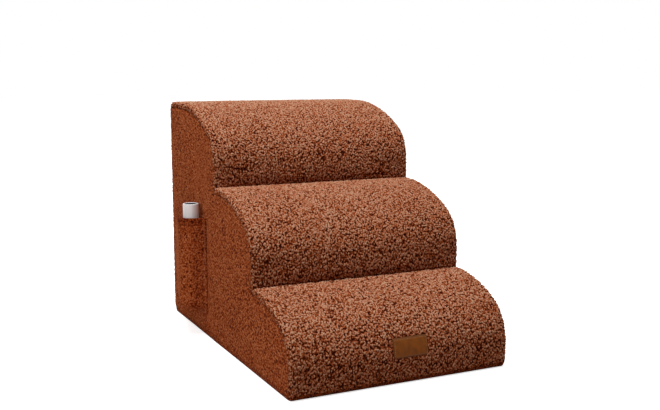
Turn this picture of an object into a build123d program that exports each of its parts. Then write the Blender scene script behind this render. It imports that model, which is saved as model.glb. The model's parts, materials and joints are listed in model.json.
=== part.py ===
from build123d import *
import os
from math import acos, atan2, cos, degrees, hypot, pi, radians, sin, tan

os.makedirs("parts", exist_ok=True)

# Soft pet stairs: three glued foam tiers in a zipped plush cover, with a lint roller
# standing in a patch pocket on the left side.
# Millimetres. +X is right, +Y is back and +Z is up. The origin is on the floor, at the
# middle of the footprint.

# The stairs as a whole
stair_width = 390.0
tier_rise = 142.0
first_tread_depth = 150.0
second_tread_depth = 180.0
top_tread_depth = 270.0

# Each nose is a tight bend, then a shallow bow over the tread. The height is how far below
# the tread the bend starts. The lower noses reach back to the next riser.
first_nose_height = 98.0
second_nose_height = 104.0
top_nose_height = 106.0
top_nose_reach = 200.0
bow_angle = 30.0
edge_radius = 14.0

# The cover
cover_thickness = 5.0
base_thickness = 2.0
seam_inset = 12.0
foam_gap = 0.4
corner_seam_angle = 42.0

# The rubber dots printed under the base cloth
dot_height = 1.0
dot_diameter = 8.0
dot_pitch = 36.0

# The zipper round three sides of the back flap
zipper_side_margin = 40.0
zipper_foot_z = 45.0
zipper_top_margin = 56.0
zipper_bend_radius = 40.0
slot_width = 14.0
tape_set_back = 2.5
tape_thickness = 1.2
tape_gap = 0.4
tooth_pitch = 5.0
tooth_width = 1.9
tooth_height = 2.3
tooth_overlap = 0.8
bead_gap = 1.0
bead_width = 1.6
stop_length = 5.0

# The zipper's slider and pull
slider_gap = 0.3
slider_length = 22.0
slider_width = 12.0
slider_thickness = 1.6
slider_stop_gap = 2.0
flange_width = 1.6
lug_thickness = 1.4
lug_length = 6.0
pull_pin_radius = 0.9
pull_pin_clearance = 0.05
pull_eye_radius = 1.8
pull_neck_width = 5.6
pull_neck_length = 8.0
pull_width = 9.0
pull_length = 34.0
pull_thickness = 1.8

# The patch pocket
pocket_front_offset = 51.0
pocket_back_margin = 18.0
pocket_bottom_z = 44.0
pocket_height = 179.0
pocket_thickness = 3.5
pocket_hem = 4.0
pocket_front_slack = 1.0
pocket_floor_angle = 14.0
pocket_corner_radius = 11.0
pocket_clearance = 1.2

# The lint roller, from the bottom up
roller_side_gap = 0.8
roller_rest_gap = 0.3
roller_end_gap = 0.3
cap_radius = 15.0
cap_length = 5.0
cap_skin = 1.0
axle_radius = 4.0
axle_clearance = 0.08
spool_length = 98.0
spool_hub_radius = 6.5
spool_fin_count = 6
spool_fin_thickness = 1.6
spool_flange_radius = 16.5
spool_flange_thickness = 2.0
core_inner_radius = 13.25
core_thickness = 1.75
core_end_gap = 1.0
sheet_roll_radius = 19.0
sheet_end_margin = 1.0
handle_length = 81.0
handle_radius = 14.2
handle_wall = 2.5
handle_plug_length = 15.0
plug_skin = 2.0
lining_thickness = 2.0
lining_set_back = 0.5
rim_radius = 1.0

# The bare leather patch on the first riser
label_width = 62.0
label_height = 31.0
label_thickness = 1.6
label_centre_x = 11.5
label_centre_z = 59.0
label_corner_radius = 3.0

# How far cutting shapes run past what they cut, and the shortest line worth drawing
overrun = 10.0
shortest_line = 0.01

# Places worked out from the sizes above
tread_depths = [first_tread_depth, second_tread_depth, top_tread_depth]
nose_reaches = [first_tread_depth, second_tread_depth, top_nose_reach]
nose_heights = [first_nose_height, second_nose_height, top_nose_height]
half_width = stair_width / 2
back_y = sum(tread_depths) / 2
riser_ys = [sum(tread_depths[:tier]) - back_y for tier in range(len(tread_depths))]
tread_zs = [tier_rise * (tier + 1) for tier in range(len(tread_depths))]
base_z = dot_height


# The stairs' form, which the cover and the foam share

def nose_radii(reach, height):
    """Radii of the tight bend and of the shallow bow that together span reach and height."""
    bow = radians(bow_angle)
    lean = (1 - cos(bow)) / sin(bow)
    bend_radius = (height - reach * lean) / (cos(bow) - (1 - sin(bow)) * lean)
    return bend_radius, (reach - (1 - sin(bow)) * bend_radius) / sin(bow)


def stair_block(inset, floor_z, end_y, reach_x, radius=0):
    """The stairs drawn in by an inset, from floor_z up and back to end_y, reach_x each way."""
    with BuildPart() as block:
        with BuildSketch(Plane.YZ.offset(-reach_x)):
            with BuildLine():
                corner = (riser_ys[0] + inset, floor_z)
                next_risers = riser_ys[1:] + [end_y - inset]
                for y, z, next_y, reach, height in zip(
                    riser_ys, tread_zs, next_risers, nose_reaches, nose_heights
                ):
                    bend_radius, bow_radius = nose_radii(reach, height)
                    Line(corner, (y + inset, z - height))
                    bend = JernArc(
                        (y + inset, z - height), (0, 1), bend_radius - inset, bow_angle - 90
                    )
                    bow = JernArc(bend @ 1, bend % 1, bow_radius - inset, -bow_angle)
                    corner = (next_y + inset, z - inset)
                    if corner[0] > (bow @ 1).X + shortest_line:
                        Line(bow @ 1, corner)
                Polyline(corner, (end_y, floor_z), (riser_ys[0] + inset, floor_z))
            make_face()
        extrude(amount=2 * reach_x)
        if radius:
            along = block.edges().filter_by(Axis.X)
            sides = block.faces().sort_by(Axis.X)
            rounded = sides[0].edges() + sides[-1].edges() + along.group_by(Axis.Z)[0]
            fillet(rounded + [along.group_by(Axis.Z)[-1].sort_by(Axis.Y)[-1]], radius)
    return block.part


# The foam: one slab for each tier, glued where they meet

foam_inset = cover_thickness + foam_gap
foam_block = stair_block(
    foam_inset,
    base_z + base_thickness + foam_gap,
    back_y - foam_inset,
    half_width - foam_inset,
    edge_radius - foam_inset,
)

for tier in range(len(tread_depths)):
    with BuildPart() as foam:
        add(foam_block)
        if tier > 0:
            split(bisect_by=Plane.XY.offset(tread_zs[tier - 1] - foam_inset), keep=Keep.TOP)
        if tier < len(tread_depths) - 1:
            split(bisect_by=Plane.XY.offset(tread_zs[tier] - foam_inset), keep=Keep.BOTTOM)
    foam.part.label = f"foam_tier_{tier + 1}"
    export_step(foam.part, f"parts/foam_tier_{tier + 1}.step")


# The base cloth, with rubber dots printed on its underside

base_width = stair_width - 2 * seam_inset
base_depth = 2 * (back_y - seam_inset)
dot_columns = 2 * int((base_width / 2 - dot_diameter) // dot_pitch) + 1
dot_rows = 2 * int((base_depth / 2 - dot_diameter) // dot_pitch) + 1

with BuildPart() as base_cloth:
    with BuildSketch(Plane.XY.offset(base_z)):
        Rectangle(base_width, base_depth)
    extrude(amount=base_thickness)
    with BuildSketch(Plane.XY):
        with GridLocations(dot_pitch, dot_pitch, dot_columns, dot_rows):
            Circle(dot_diameter / 2)
    extrude(amount=dot_height)
base_cloth.part.label = "base_cloth"
export_step(base_cloth.part, "parts/base_cloth.step")


# The cover as one sewn skin, and the core that stops one seam inset inside its stepped edges

outer_block = stair_block(0, base_z, back_y, half_width, edge_radius)
inner_block = stair_block(
    cover_thickness,
    base_z + base_thickness,
    back_y - cover_thickness,
    half_width - cover_thickness,
    edge_radius - cover_thickness,
)
core_block = stair_block(seam_inset, -overrun, back_y + overrun, half_width + overrun)

with BuildPart() as cover:
    add(outer_block)
    add(inner_block, mode=Mode.SUBTRACT)
    with BuildSketch(Plane.XY.offset(base_z)):
        Rectangle(base_width, base_depth)
    extrude(amount=overrun, mode=Mode.SUBTRACT)

with BuildPart() as tread_band:
    add(cover.part)
    add(core_block, mode=Mode.SUBTRACT)

with BuildPart() as cover_walls:
    add(cover.part)
    add(core_block, mode=Mode.INTERSECT)


# The label: a thin slice of the first riser's surface, let in flush with the pile

plain_block = stair_block(0, base_z, back_y, half_width)
under_label_block = stair_block(label_thickness, base_z, back_y, half_width)

with BuildPart() as label_patch:
    with BuildSketch(Plane.XZ.offset(overrun - riser_ys[0])):
        with Locations((label_centre_x, label_centre_z)):
            RectangleRounded(label_width, label_height, label_corner_radius)
    extrude(amount=-first_tread_depth)
    add(plain_block, mode=Mode.INTERSECT)
    add(under_label_block, mode=Mode.SUBTRACT)
label_patch.part.label = "label_patch"
export_step(label_patch.part, "parts/label_patch.step")


# The tread panels wrap over the sides, and meet in the corners between tread and riser

corner_normal = (0, cos(radians(corner_seam_angle)), sin(radians(corner_seam_angle)))
corner_planes = [
    Plane(origin=(0, y, z), z_dir=corner_normal) for y, z in zip(riser_ys[1:], tread_zs)
]

for tier in range(len(tread_depths)):
    with BuildPart() as tread_panel:
        add(tread_band.part)
        if tier > 0:
            split(bisect_by=corner_planes[tier - 1], keep=Keep.TOP)
        else:
            add(label_patch.part, mode=Mode.SUBTRACT)
        if tier < len(corner_planes):
            split(bisect_by=corner_planes[tier], keep=Keep.BOTTOM)
    tread_panel.part.label = f"tread_panel_{tier + 1}"
    export_step(tread_panel.part, f"parts/tread_panel_{tier + 1}.step")


# The side panels reach one seam inset round onto the back and under the base

for side, kept, name in (
    (-1, Keep.BOTTOM, "left_side_panel"), (1, Keep.TOP, "right_side_panel")
):
    with BuildPart() as side_panel:
        add(cover_walls.part)
        split(bisect_by=Plane.YZ.offset(side * (half_width - seam_inset)), keep=kept)
    side_panel.part.label = name
    export_step(side_panel.part, f"parts/{name}.step")


# The back: a flap inside the zipper, hanging from the top, and a border round it

zipper_x = half_width - zipper_side_margin
zipper_top_z = tread_zs[-1] - zipper_top_margin
tape_y = back_y - tape_set_back
teeth_y = tape_y + tooth_height
bead_edge = bead_gap + bead_width


def flap_face(inward, top_z):
    """What lies inside the zipper's line, moved inward, up to top_z."""
    span = zipper_x - inward
    foot_z = zipper_foot_z + inward
    with BuildSketch() as face:
        with BuildLine():
            FilletPolyline(
                (-span, top_z), (-span, foot_z), (span, foot_z), (span, top_z),
                radius=zipper_bend_radius - inward,
            )
            Line((span, top_z), (-span, top_z))
        make_face()
    return face.sketch


flap_inside = flap_face(slot_width / 2, zipper_top_z)
flap_outside = flap_face(-slot_width / 2, zipper_top_z)
tape_edge_inside = flap_face(tape_gap / 2, zipper_top_z)
tape_edge_outside = flap_face(-tape_gap / 2, zipper_top_z)

with BuildPart() as back_wall:
    add(cover_walls.part)
    split(bisect_by=Plane.YZ.offset(half_width - seam_inset), keep=Keep.BOTTOM)
    split(bisect_by=Plane.YZ.offset(seam_inset - half_width), keep=Keep.TOP)

with BuildPart() as back_border_panel:
    add(back_wall.part)
    split(bisect_by=Plane.XY.offset(zipper_top_z), keep=Keep.BOTTOM)
    with BuildSketch(Plane.XZ.offset(-back_y)):
        add(flap_outside)
    extrude(amount=cover_thickness, mode=Mode.SUBTRACT)
back_border_panel.part.label = "back_border_panel"
export_step(back_border_panel.part, "parts/back_border_panel.step")

with BuildPart() as back_flap_panel:
    add(back_wall.part)
    split(bisect_by=Plane.XY.offset(zipper_top_z), keep=Keep.TOP)
    with BuildSketch(Plane.XZ.offset(-back_y)):
        add(flap_inside)
    extrude(amount=cover_thickness)
back_flap_panel.part.label = "back_flap_panel"
export_step(back_flap_panel.part, "parts/back_flap_panel.step")

for name, outer_face, inner_face in (
    ("zipper_tape_inner", tape_edge_inside, flap_inside),
    ("zipper_tape_outer", flap_outside, tape_edge_outside),
):
    with BuildPart() as tape:
        with BuildSketch(Plane.XZ.offset(-tape_y)):
            add(outer_face)
            add(inner_face, mode=Mode.SUBTRACT)
        extrude(amount=tape_thickness)
    tape.part.label = name
    export_step(tape.part, f"parts/{name}.step")


# The zipper's two rows of teeth, each row a bead along its tape with the teeth across it

with BuildLine() as zipper_line:
    FilletPolyline(
        (-zipper_x, zipper_top_z), (-zipper_x, zipper_foot_z),
        (zipper_x, zipper_foot_z), (zipper_x, zipper_top_z),
        radius=zipper_bend_radius,
    )
zipper_path = zipper_line.wires()[0]
tooth_count = int((zipper_path.length - 2 * stop_length) / tooth_pitch - 1)


def comb_outline(side, shift):
    """Outline of one row of teeth, with its bead on the inner or the outer side of the line."""
    toothed_edge = []
    plain_edge = []
    for tooth in range(tooth_count):
        distance = stop_length + (tooth + 1) * tooth_pitch + shift
        place = zipper_path.position_at(distance, PositionMode.LENGTH)
        along = zipper_path.tangent_at(distance, PositionMode.LENGTH)
        across = Vector(-along.Y, along.X) * side
        left = place - along * (tooth_width / 2)
        right = place + along * (tooth_width / 2)
        toothed_edge += [
            left + across * bead_gap,
            left - across * tooth_overlap,
            right - across * tooth_overlap,
            right + across * bead_gap,
        ]
        plain_edge += [left + across * bead_edge, right + across * bead_edge]
    return toothed_edge + plain_edge[::-1]


for name, side, shift in (
    ("zipper_teeth_inner", 1, -tooth_pitch / 4), ("zipper_teeth_outer", -1, tooth_pitch / 4)
):
    outline = comb_outline(side, shift)
    with BuildPart() as teeth:
        with BuildSketch(Plane.XZ.offset(-teeth_y)):
            with BuildLine():
                Polyline(outline, close=True)
            make_face()
        extrude(amount=tooth_height)
    teeth.part.label = name
    export_step(teeth.part, f"parts/{name}.step")

with BuildPart() as zipper_stops:
    with BuildSketch(Plane.XZ.offset(-teeth_y)):
        with Locations(
            (-zipper_x, zipper_top_z - stop_length / 2), (zipper_x, zipper_top_z - stop_length / 2)
        ):
            Rectangle(2 * bead_edge, stop_length)
    extrude(amount=tooth_height)
zipper_stops.part.label = "zipper_stops"
export_step(zipper_stops.part, "parts/zipper_stops.step")


# The slider, parked at the top of the right leg, and the pull that hangs from its pin

slider_z = zipper_top_z - stop_length - slider_stop_gap - slider_length / 2
cap_under_y = teeth_y + slider_gap
cap_top_y = cap_under_y + slider_thickness
pull_pin_y = cap_top_y + pull_eye_radius + slider_gap
lug_inner_x = pull_neck_width / 2 + slider_gap
slider_corner_radius = slider_width / 4
flange_inner_x = bead_edge + slider_gap

with BuildPart() as zipper_slider:
    with BuildSketch(Plane.XZ.offset(-cap_top_y)):
        with Locations((zipper_x, slider_z)):
            RectangleRounded(slider_width, slider_length, slider_corner_radius)
    extrude(amount=slider_thickness)
    fillet(zipper_slider.faces().sort_by(Axis.Y)[-1].edges(), slider_thickness / 4)
    with BuildSketch(Plane.XZ.offset(-cap_under_y)):
        for side in (-1, 1):
            with Locations((zipper_x + side * (flange_inner_x + flange_width / 2), slider_z)):
                Rectangle(flange_width, slider_length - 2 * slider_corner_radius)
    extrude(amount=cap_under_y - tape_y - slider_gap)
    for lug_x in (zipper_x - lug_inner_x - lug_thickness, zipper_x + lug_inner_x):
        with BuildSketch(Plane.YZ.offset(lug_x)):
            with Locations((pull_pin_y, slider_z)):
                Circle(lug_length / 2)
            with Locations(((cap_under_y + pull_pin_y) / 2, slider_z)):
                Rectangle(pull_pin_y - cap_under_y, lug_length)
            with Locations((cap_under_y, slider_z)):
                Rectangle(lug_length, lug_length, align=(Align.MAX, Align.CENTER), mode=Mode.SUBTRACT)
        extrude(amount=lug_thickness)
    with BuildSketch(Plane.YZ.offset(zipper_x - lug_inner_x)):
        with Locations((pull_pin_y, slider_z)):
            Circle(pull_pin_radius)
    extrude(amount=2 * lug_inner_x)
zipper_slider.part.label = "zipper_slider"
export_step(zipper_slider.part, "parts/zipper_slider.step")

with BuildPart() as zipper_pull:
    with BuildSketch(Plane.YZ.offset(zipper_x - pull_neck_width / 2)):
        with Locations((pull_pin_y, slider_z)):
            Circle(pull_eye_radius)
    extrude(amount=pull_neck_width)
    with BuildSketch(Plane.XZ.offset(-pull_pin_y - pull_thickness / 2)):
        with Locations((zipper_x, slider_z)):
            Rectangle(pull_neck_width, pull_length / 2, align=(Align.CENTER, Align.MAX))
        with Locations((zipper_x, slider_z - pull_neck_length)):
            with Locations((0, (pull_neck_length - pull_length) / 2)):
                RectangleRounded(pull_width, pull_length - pull_neck_length, pull_width / 3)
    extrude(amount=pull_thickness)
    with BuildSketch(Plane.YZ.offset(zipper_x - pull_neck_width / 2)):
        with Locations((pull_pin_y, slider_z)):
            Circle(pull_pin_radius + pull_pin_clearance)
    extrude(amount=pull_neck_width, mode=Mode.SUBTRACT)
zipper_pull.part.label = "zipper_pull"
export_step(zipper_pull.part, "parts/zipper_pull.step")


# The lint roller's place: outside the left side, at the pocket's front end

side_x = -half_width
pocket_front_y = riser_ys[-1] + pocket_front_offset
pocket_back_y = back_y - pocket_back_margin
pocket_top_z = pocket_bottom_z + pocket_height
pocket_inner_radius = sheet_roll_radius + pocket_clearance
pocket_outer_radius = pocket_inner_radius + pocket_thickness
roller_x = side_x - roller_side_gap - sheet_roll_radius
roller_y = pocket_front_y + pocket_hem + pocket_outer_radius + pocket_front_slack
floor_rise = tan(radians(pocket_floor_angle))
outer_floor_z = pocket_bottom_z + pocket_hem
inner_floor_z = outer_floor_z + pocket_thickness / cos(radians(pocket_floor_angle))
cap_reach = side_x - roller_x + cap_radius
roller_z = inner_floor_z + cap_reach * floor_rise + roller_rest_gap


# The pocket: a hemmed patch pulled tight round the roller, open at the top

def wrap_angle(seam_y, turn):
    """Where a line from a seam in the side's plane meets the wrap round the roller."""
    across = side_x - roller_x
    along = seam_y - roller_y
    opening = acos(pocket_outer_radius / hypot(across, along))
    return atan2(along, across) + turn * opening


front_angle = wrap_angle(pocket_front_y + pocket_hem, -1)
back_angle = wrap_angle(pocket_back_y - pocket_hem, 1)


def seam_point(angle, radius):
    """Where the line that leaves the wrap at an angle and a radius meets the side's plane."""
    return side_x, roller_y + (radius - cos(angle) * (side_x - roller_x)) / sin(angle)


def pocket_form(radius, floor_z, top_z, corner_radius):
    """What lies inside a wrap of this radius, above a floor that rises away from the side."""
    with BuildPart() as form:
        with BuildSketch(Plane.XY.offset(floor_z)):
            with BuildLine():
                wrap = CenterArc(
                    (roller_x, roller_y), radius,
                    degrees(front_angle), degrees(back_angle - front_angle) - 360,
                )
                Polyline(
                    wrap @ 1, seam_point(back_angle, radius),
                    seam_point(front_angle, radius), wrap @ 0,
                )
            make_face()
        extrude(amount=top_z - floor_z)
        floor_normal = (sin(radians(pocket_floor_angle)), 0, cos(radians(pocket_floor_angle)))
        split(bisect_by=Plane(origin=(side_x, 0, floor_z), z_dir=floor_normal), keep=Keep.TOP)
        floor_edges = form.faces().sort_by(Axis.Z)[0].edges()
        fillet(floor_edges.sort_by(Axis.X)[:-1], corner_radius)
    return form.part


pocket_outside = pocket_form(
    pocket_outer_radius, outer_floor_z, pocket_top_z, pocket_corner_radius
)
pocket_inside = pocket_form(
    pocket_inner_radius, inner_floor_z, pocket_top_z + overrun,
    pocket_corner_radius - pocket_thickness,
)

with BuildPart() as pocket_panel:
    with BuildSketch(Plane.YZ.offset(side_x - pocket_thickness)):
        with Locations((pocket_front_y, pocket_bottom_z)):
            Rectangle(
                pocket_back_y - pocket_front_y, pocket_height, align=(Align.MIN, Align.MIN)
            )
    extrude(amount=pocket_thickness)
    add(pocket_outside)
    add(pocket_inside, mode=Mode.SUBTRACT)
pocket_panel.part.label = "pocket_panel"
export_step(pocket_panel.part, "parts/pocket_panel.step")


# The lint roller, from its bottom end up

def roller_plane(z):
    """A level plane on the roller's own axis."""
    return Plane((roller_x, roller_y, z))


spool_z = roller_z + cap_length + roller_end_gap
flange_z = spool_z + spool_length
handle_z = flange_z + spool_flange_thickness + roller_end_gap
plug_top_z = handle_z + handle_plug_length
handle_top_z = handle_z + handle_length
handle_bore_radius = handle_radius - handle_wall
core_z = spool_z + core_end_gap
core_radius = core_inner_radius + core_thickness

with BuildPart() as spool_cap:
    with BuildSketch(roller_plane(roller_z)):
        Circle(cap_radius)
    extrude(amount=cap_length)
    with BuildSketch(roller_plane(roller_z + cap_skin)):
        Circle(axle_radius)
    extrude(amount=cap_length - cap_skin, mode=Mode.SUBTRACT)
    fillet(spool_cap.faces().sort_by(Axis.Z)[0].edges(), cap_skin / 2)
spool_cap.part.label = "spool_cap"
export_step(spool_cap.part, "parts/spool_cap.step")

with BuildPart() as roller_axle:
    with BuildSketch(roller_plane(roller_z + cap_skin)):
        Circle(axle_radius)
    extrude(amount=plug_top_z - plug_skin - roller_z - cap_skin)
roller_axle.part.label = "roller_axle"
export_step(roller_axle.part, "parts/roller_axle.step")

with BuildPart() as roller_spool:
    with BuildSketch(roller_plane(spool_z)):
        with PolarLocations(0, spool_fin_count):
            Rectangle(spool_flange_radius, spool_fin_thickness, align=(Align.MIN, Align.CENTER))
        Circle(core_inner_radius, mode=Mode.INTERSECT)
        Circle(spool_hub_radius)
    extrude(amount=spool_length)
    with BuildSketch(roller_plane(flange_z)):
        Circle(spool_flange_radius)
    extrude(amount=spool_flange_thickness)
    with BuildSketch(roller_plane(spool_z)):
        Circle(axle_radius + axle_clearance)
    extrude(amount=spool_length + spool_flange_thickness, mode=Mode.SUBTRACT)
roller_spool.part.label = "roller_spool"
export_step(roller_spool.part, "parts/roller_spool.step")

with BuildPart() as paper_core:
    with BuildSketch(roller_plane(core_z)):
        Circle(core_radius)
        Circle(core_inner_radius, mode=Mode.SUBTRACT)
    extrude(amount=spool_length - core_end_gap)
paper_core.part.label = "paper_core"
export_step(paper_core.part, "parts/paper_core.step")

with BuildPart() as sticky_sheets:
    with BuildSketch(roller_plane(core_z + sheet_end_margin)):
        Circle(sheet_roll_radius)
        Circle(core_radius, mode=Mode.SUBTRACT)
    extrude(amount=spool_length - core_end_gap - 2 * sheet_end_margin)
sticky_sheets.part.label = "sticky_sheets"
export_step(sticky_sheets.part, "parts/sticky_sheets.step")

with BuildPart() as roller_handle:
    with BuildSketch(roller_plane(handle_z)):
        Circle(handle_radius)
    extrude(amount=handle_length)
    with BuildSketch(roller_plane(plug_top_z)):
        Circle(handle_bore_radius)
    extrude(amount=handle_length - handle_plug_length, mode=Mode.SUBTRACT)
    with BuildSketch(roller_plane(handle_z)):
        Circle(axle_radius)
    extrude(amount=handle_plug_length - plug_skin, mode=Mode.SUBTRACT)
    fillet(roller_handle.faces().sort_by(Axis.Z)[-1].edges(), rim_radius)
roller_handle.part.label = "roller_handle"
export_step(roller_handle.part, "parts/roller_handle.step")

with BuildPart() as handle_lining:
    with BuildSketch(roller_plane(plug_top_z)):
        Circle(handle_bore_radius)
    extrude(amount=handle_length - handle_plug_length - lining_set_back)
    with BuildSketch(roller_plane(plug_top_z + lining_thickness)):
        Circle(handle_bore_radius - lining_thickness)
    extrude(amount=handle_length - handle_plug_length, mode=Mode.SUBTRACT)
handle_lining.part.label = "handle_lining"
export_step(handle_lining.part, "parts/handle_lining.step")

print("roller from", roller_z, "to", handle_top_z, "at", roller_x, roller_y)
print("pocket from", pocket_front_y, "to", pocket_back_y, "reach", roller_x - pocket_outer_radius)
print("slider at", zipper_x, pull_pin_y, slider_z)
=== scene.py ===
import json
from functools import cache, partial
from math import cos, pi, radians, sin

import bmesh
import bpy
import numpy as np
from mathutils import Matrix, Vector
from mathutils.bvhtree import BVHTree
from mathutils.kdtree import KDTree


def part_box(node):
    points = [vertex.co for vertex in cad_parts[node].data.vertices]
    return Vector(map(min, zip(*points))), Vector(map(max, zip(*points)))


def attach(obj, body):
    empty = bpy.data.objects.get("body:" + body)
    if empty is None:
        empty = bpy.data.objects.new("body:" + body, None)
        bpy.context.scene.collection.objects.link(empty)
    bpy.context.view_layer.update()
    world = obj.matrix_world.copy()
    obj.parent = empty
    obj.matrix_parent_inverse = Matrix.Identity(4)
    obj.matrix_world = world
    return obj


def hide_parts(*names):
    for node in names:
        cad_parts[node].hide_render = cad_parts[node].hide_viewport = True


bl_info = {
    "name": "Soft pet stairs",
    "version": (1, 0, 0),
    "blender": (4, 5, 0),
    "location": "View3D > Sidebar > Stairs",
    "description": "Dresses three foam pet steps in sherpa, with a zip at the back and a lint roller",
    "category": "Object",
}

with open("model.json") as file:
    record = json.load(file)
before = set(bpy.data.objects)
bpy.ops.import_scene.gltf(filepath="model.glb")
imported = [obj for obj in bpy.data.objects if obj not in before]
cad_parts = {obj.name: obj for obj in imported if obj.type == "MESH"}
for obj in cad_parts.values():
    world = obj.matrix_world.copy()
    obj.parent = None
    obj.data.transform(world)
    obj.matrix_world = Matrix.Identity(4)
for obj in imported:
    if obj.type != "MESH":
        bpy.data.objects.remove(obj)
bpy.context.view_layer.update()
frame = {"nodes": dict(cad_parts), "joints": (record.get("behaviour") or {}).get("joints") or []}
nodes = frame["nodes"]

MM = 0.001
TIERS = (1, 2, 3)
WAVE = 0.314  # metres from band to band of a wave texture at scale 1

ROUNDING = 14 * MM  # of the solid cover, along its seams and at the foot
CLOTH_MESH = 9 * MM  # mesh squares of the cloth simulation
CLOTH_FRAMES = 20

# How far from the foam a point lies on a panel's lining, on its cut rim and on its outer face
LINING = 0.9 * MM
RIM = (1.3 * MM, 3.9 * MM)
FACE = 4.3 * MM


def srgb(text):
    """Linear red, green, blue and alpha of a hex colour such as #7a3b22."""
    values = [int(text[i:i + 2], 16) / 255 for i in (1, 3, 5)]
    return tuple(v / 12.92 if v <= 0.04045 else ((v + 0.055) / 1.055) ** 2.4 for v in values) + (1.0,)


WHITE = srgb("#ffffff")


def length(name, description, default):
    return bpy.props.FloatProperty(
        name=name, description=description, default=default, min=0.0, unit="LENGTH", precision=4
    )


def colour(name, description, default):
    return bpy.props.FloatVectorProperty(
        name=name, description=description, default=srgb(default), size=4, min=0.0, max=1.0,
        subtype="COLOR",
    )


def power(name, description, default):
    return bpy.props.FloatProperty(
        name=name, description=description, default=default, min=0.0, unit="POWER"
    )


class CoverSettings(bpy.types.PropertyGroup):
    tread_grain: length("Tread mesh", "Size of the mesh squares on the treads", 1.15 * MM)
    side_grain: length("Side mesh", "Size of the mesh squares on the sides", 1.3 * MM)
    back_grain: length("Back mesh", "Size of the mesh squares on the back", 2.0 * MM)
    tread_curl: length("Tread curl", "Width of one curl of the tread pile", 2.55 * MM)
    tread_pile: length("Tread pile", "Depth between the tread curls", 2.2 * MM)
    side_curl: length("Side curl", "Width of one curl of the clipped side pile", 2.7 * MM)
    side_pile: length("Side pile", "Depth between the clipped side curls", 1.4 * MM)
    swell: length("Swell", "How far the fullest panel stands out between its seams", 5 * MM)
    seam_depth: length("Seam depth", "How far a seam pulls the pile in", 0.9 * MM)
    seam_reach: length("Seam reach", "Width of the dip beside a seam", 6 * MM)
    # The gap colours of treads and sides are painted shade deep between the curls, and the tip colours a
    # painted highlight on the curls' tips
    tread_gap: colour("Tread gaps", "Pile seen deep between the curls", "#320500")
    tread_body: colour("Tread pile", "Flanks of the curls", "#9e4a1e")
    tread_tip: colour("Tread tips", "Brushed tips of the curls", "#c1967a")
    side_gap: colour("Side gaps", "Clipped pile between the curls", "#4a1504")
    side_body: colour("Side pile", "Flanks of the clipped curls", "#a3491d")
    side_tip: colour("Side tips", "Tips of the clipped curls", "#c47a4f")
    foam_colour: colour("Foam", "Cut face of the foam slabs", "#d9cdb0")
    base_colour: colour("Base cloth", "Woven cloth under the stairs", "#2f2c2b")
    dot_colour: colour("Grip dots", "Rubber printed on the base cloth", "#141313")


class TrimSettings(bpy.types.PropertyGroup):
    leather: colour("Leather", "Face of the label", "#7b420d")
    leather_edge: colour("Leather edge", "Burnished rim of the label", "#5e3310")
    thread: colour("Thread", "Sewing thread of the cover", "#5d2a17")
    label_thread: colour("Label thread", "Tan thread that holds the label", "#9a6a3c")
    tape: colour("Zipper tape", "Woven tape of the zipper", "#6b3320")
    teeth: colour("Teeth", "Moulded zipper teeth", "#7a4a33")
    metal: colour("Plated zinc", "Slider, pull and stops, in antique brass", "#a5885a")
    stitch_pitch: length("Stitch pitch", "Distance from stitch to stitch", 4.2 * MM)
    thread_width: length("Thread", "Thickness of the sewing thread", 0.7 * MM)


class RollerSettings(bpy.types.PropertyGroup):
    white: colour("White plastic", "Handle, spool and cap", "#f3f3f4")
    black: colour("Black lining", "Inside of the handle", "#0b0b0c")
    axle: colour("Axle", "Axle of the spool", "#d8d8d6")
    board: colour("Board", "Grey board core", "#9c8664")
    paper: colour("Sheets", "Coated sticky sheets", "#f1efe8")


class StageSettings(bpy.types.PropertyGroup):
    floor: colour("Floor", "Pale studio floor as it is seen", "#f2f1ef")
    bounce: colour("Bounce", "Light that the floor throws back at the stairs", "#a08876")
    key_power: power("Key light", "Power of the large lamp above", 110.0)
    fill_power: power("Fill light", "Power of the lamp on the left", 15.0)
    back_power: power("Back light", "Power of the lamp behind, which the front hardly sees", 9.0)
    sky: bpy.props.FloatProperty(
        name="Room light", description="Strength of the even light of the room", default=0.19, min=0.0
    )


# Materials

def add_node(tree, kind, inputs=None, output=0, stops=(), **settings):
    """Add a shader node with its settings, ramp stops, values and links, and return one output."""
    node = tree.nodes.new("ShaderNode" + kind)
    for name, value in settings.items():
        setattr(node, name, value)
    for name, value in (inputs or {}).items():
        if isinstance(value, bpy.types.NodeSocket):
            tree.links.new(value, node.inputs[name])
        else:
            node.inputs[name].default_value = value
    if stops:
        elements = node.color_ramp.elements
        while len(elements) < len(stops):
            elements.new(0.5)
        for element, (position, tint) in zip(elements, stops):
            element.position = position
            element.color = tint
    return node.outputs[output] if node.outputs else None


def new_material(name, recipe, *values, **named):
    """A material whose surface comes from a recipe, given the place on the piece in metres."""
    material = bpy.data.materials.new(name)
    material.use_nodes = True
    material.node_tree.nodes.clear()
    add = partial(add_node, material.node_tree)
    place = add("TexCoord", output="Object")
    add("OutputMaterial", {"Surface": recipe(add, place, *values, **named)})
    return material


def toned(tint, factor=1.0):
    """A darker or paler tone of a colour."""
    return tuple(min(1.0, part * factor) for part in tint[:3]) + (1.0,)


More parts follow.
